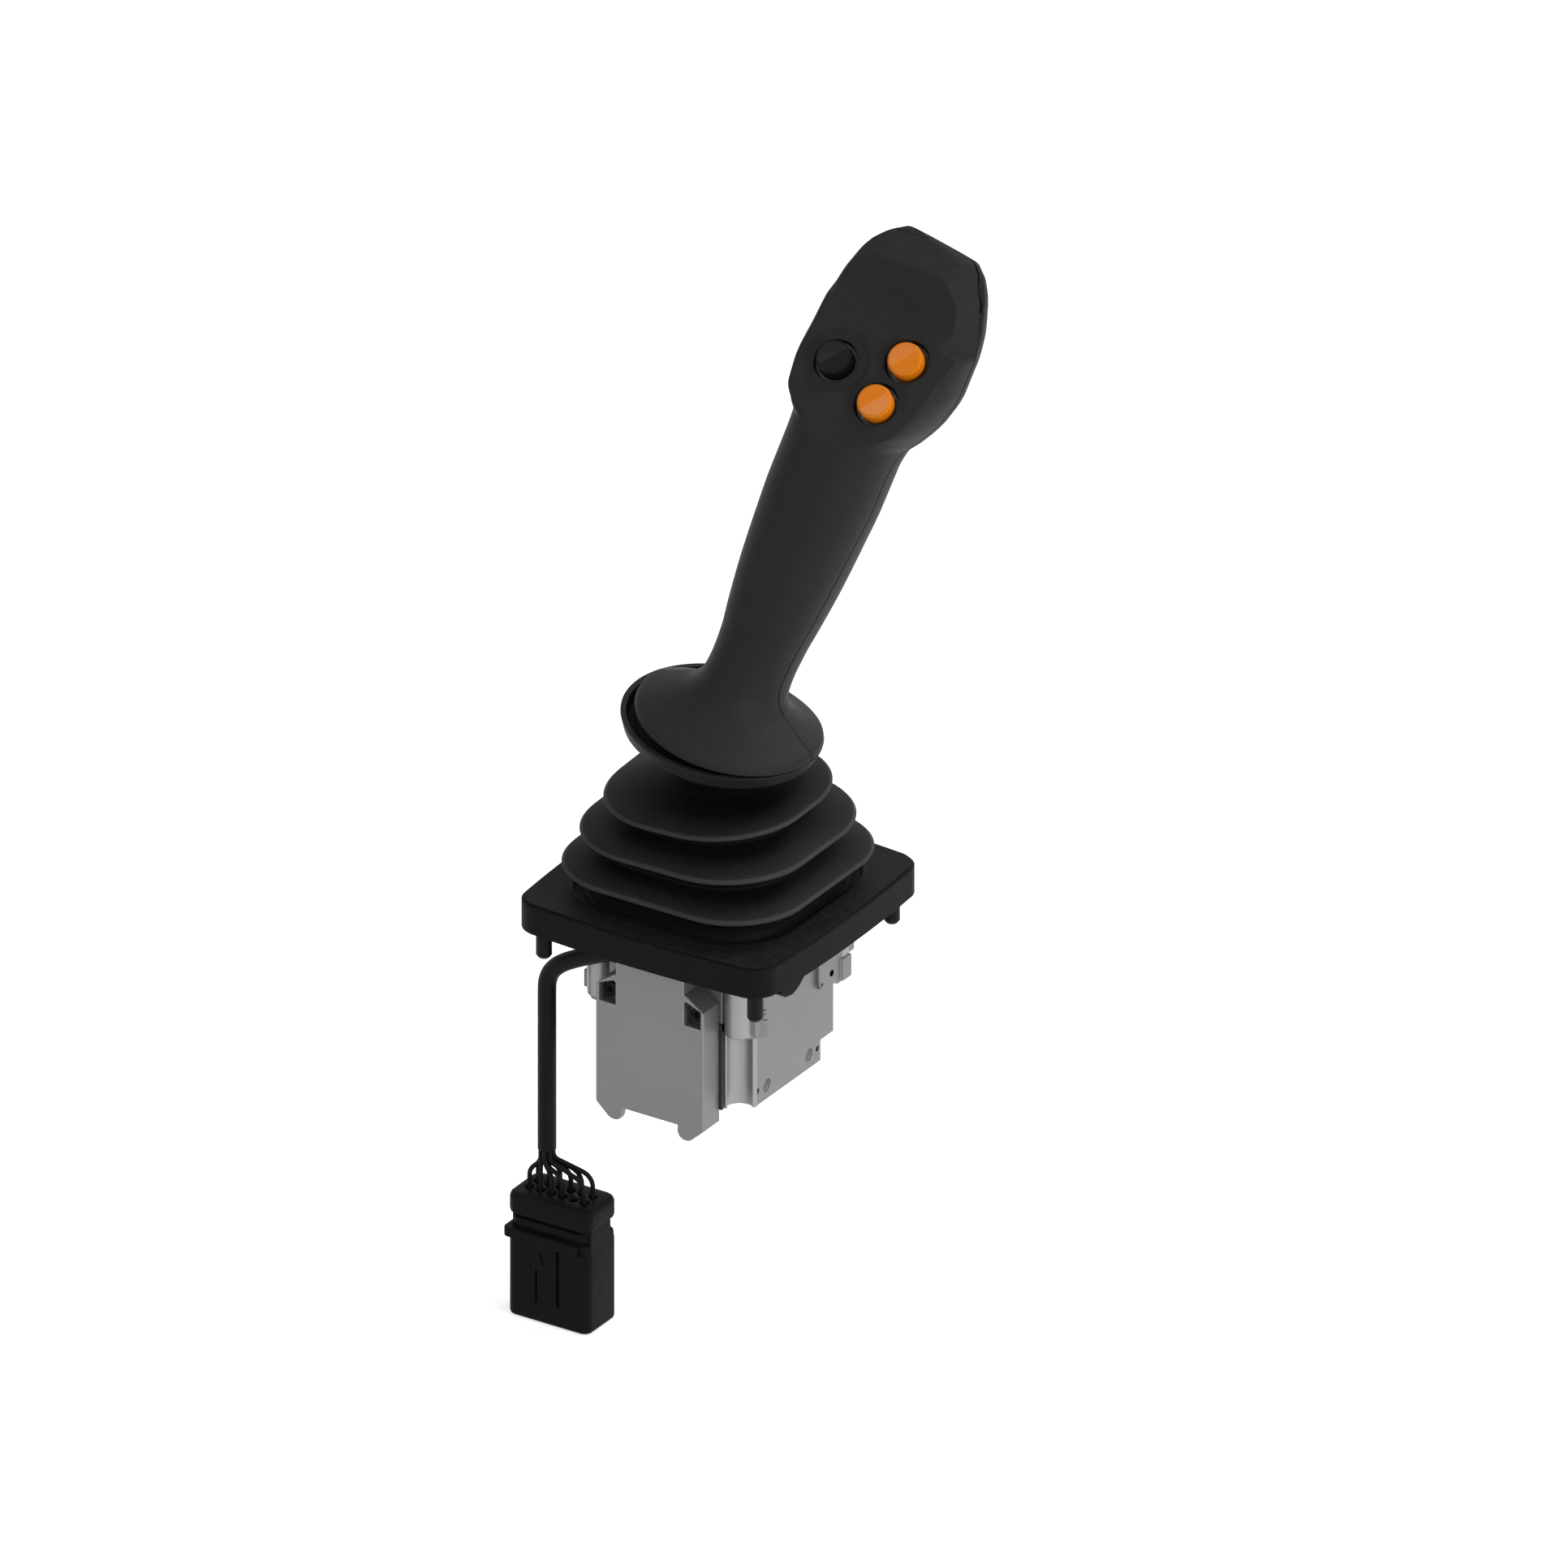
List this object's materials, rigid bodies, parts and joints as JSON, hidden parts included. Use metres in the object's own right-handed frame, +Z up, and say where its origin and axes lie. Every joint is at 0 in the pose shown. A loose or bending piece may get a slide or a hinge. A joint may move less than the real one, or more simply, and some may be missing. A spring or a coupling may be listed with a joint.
{
  "type": "industrial joystick",
  "caption": "Panel-mounted joystick with a square bezel, ribbed rubber boot, leaning grip with push-buttons, cast base below the panel and a short cable to a multiway connector.",
  "frame": {"origin": "centre of the four-stud pattern on the underside of the bezel, which is the panel plane", "axes": "+Z up through the panel along the lever at rest, -Y towards the operator, +X to the operator's right"},
  "size_m": [0.1138, 0.1222, 0.3626],
  "materials": {
    "black_shell": "fine satin moulding",
    "black_steel": "blackened steel",
    "die_cast": "plain die-cast zinc-aluminium, satin",
    "bright_steel": "zinc-plated steel",
    "board": "green lacquered laminate",
    "dark_parts": "moulded black parts",
    "link_copper": "amber polyimide film with copper",
    "bronze": "sintered bronze, oil-filled",
    "boot_rubber": "matt moulded rubber",
    "seal_rubber": "soft black seal rubber",
    "lead_jacket": "thin black insulation",
    "cable_jacket": "smooth black cable jacket",
    "black_plastic": "glass-filled nylon",
    "orange_plastic": "orange moulding",
    "tinned_brass": "tinned brass",
    "steel": "turned steel",
    "spring_steel": "spring wire",
    "magnet": "plated magnet",
    "cup_plastic": "smooth black moulding",
    "alloy": "machined alloy",
    "grip_plastic": "soft satin dark grey moulding",
    "black_cap": "semi-gloss black cap",
    "orange_cap": "semi-gloss orange cap"
  },
  "bodies": {
    "base": {"bezel_flange": "black_shell", "mounting_studs": "black_steel", "base_housing": "die_cast", "front_cover": "die_cast", "cover_screws": "bright_steel", "body_screws": "bright_steel", "circuit_board": "board", "board_chips": "dark_parts", "sensor_board": "board", "sensor_chip": "dark_parts", "board_link": "link_copper", "pivot_bushes": "bronze", "boot": "boot_rubber", "boot_frame": "black_steel", "cable_grommet": "seal_rubber", "inner_leads": "lead_jacket", "cable": "cable_jacket", "wire_leads": "lead_jacket", "connector_body": "black_plastic", "connector_seal": "seal_rubber", "terminal_wedge": "orange_plastic", "contact_pins": "tinned_brass"},
    "gimbal": {"gimbal_ring": "steel", "gimbal_pins": "bright_steel", "cross_pin": "bright_steel", "side_springs": "spring_steel", "front_springs": "spring_steel"},
    "lever": {"lever_shaft": "steel", "tail_magnet": "magnet", "boot_clamp": "black_steel", "grip_cup": "cup_plastic", "grip_adapter": "alloy", "clamp_screw": "black_steel", "grip_spine": "alloy", "grip_front_shell": "grip_plastic", "grip_rear_shell": "grip_plastic", "shell_screws": "bright_steel", "grip_wiring": "lead_jacket", "switch_bodies": "dark_parts", "button_springs": "spring_steel"},
    "left_cap": {"left_button": "black_cap"},
    "upper_cap": {"upper_button": "orange_cap"},
    "lower_cap": {"lower_button": "orange_cap"}
  },
  "joints": [
    {"name": "gimbal_tilt", "type": "hinge", "parent": "base", "child": "gimbal", "pos_m": [0, 0, -0.018], "axis": [1, 0, 0], "range_deg": [-18, 18], "stiffness_Nm_per_rad": 2.2, "deforming": ["boot"]},
    {"name": "lever_tilt", "type": "hinge", "parent": "gimbal", "child": "lever", "pos_m": [0, 0, -0.018], "axis": [0, 1, 0], "range_deg": [-18, 18], "stiffness_Nm_per_rad": 2.2, "deforming": ["boot"]},
    {"name": "left_press", "type": "slide", "parent": "lever", "child": "left_cap", "axis": [-0.1717, 0.6717, -0.7206], "range_m": [0, 0.0015], "stiffness_N_per_m": 900, "springref_m": -0.0012},
    {"name": "upper_press", "type": "slide", "parent": "lever", "child": "upper_cap", "axis": [-0.1717, 0.6717, -0.7206], "range_m": [0, 0.0015], "stiffness_N_per_m": 900, "springref_m": -0.0012},
    {"name": "lower_press", "type": "slide", "parent": "lever", "child": "lower_cap", "axis": [-0.1717, 0.6717, -0.7206], "range_m": [0, 0.0015], "stiffness_N_per_m": 900, "springref_m": -0.0012}
  ]
}
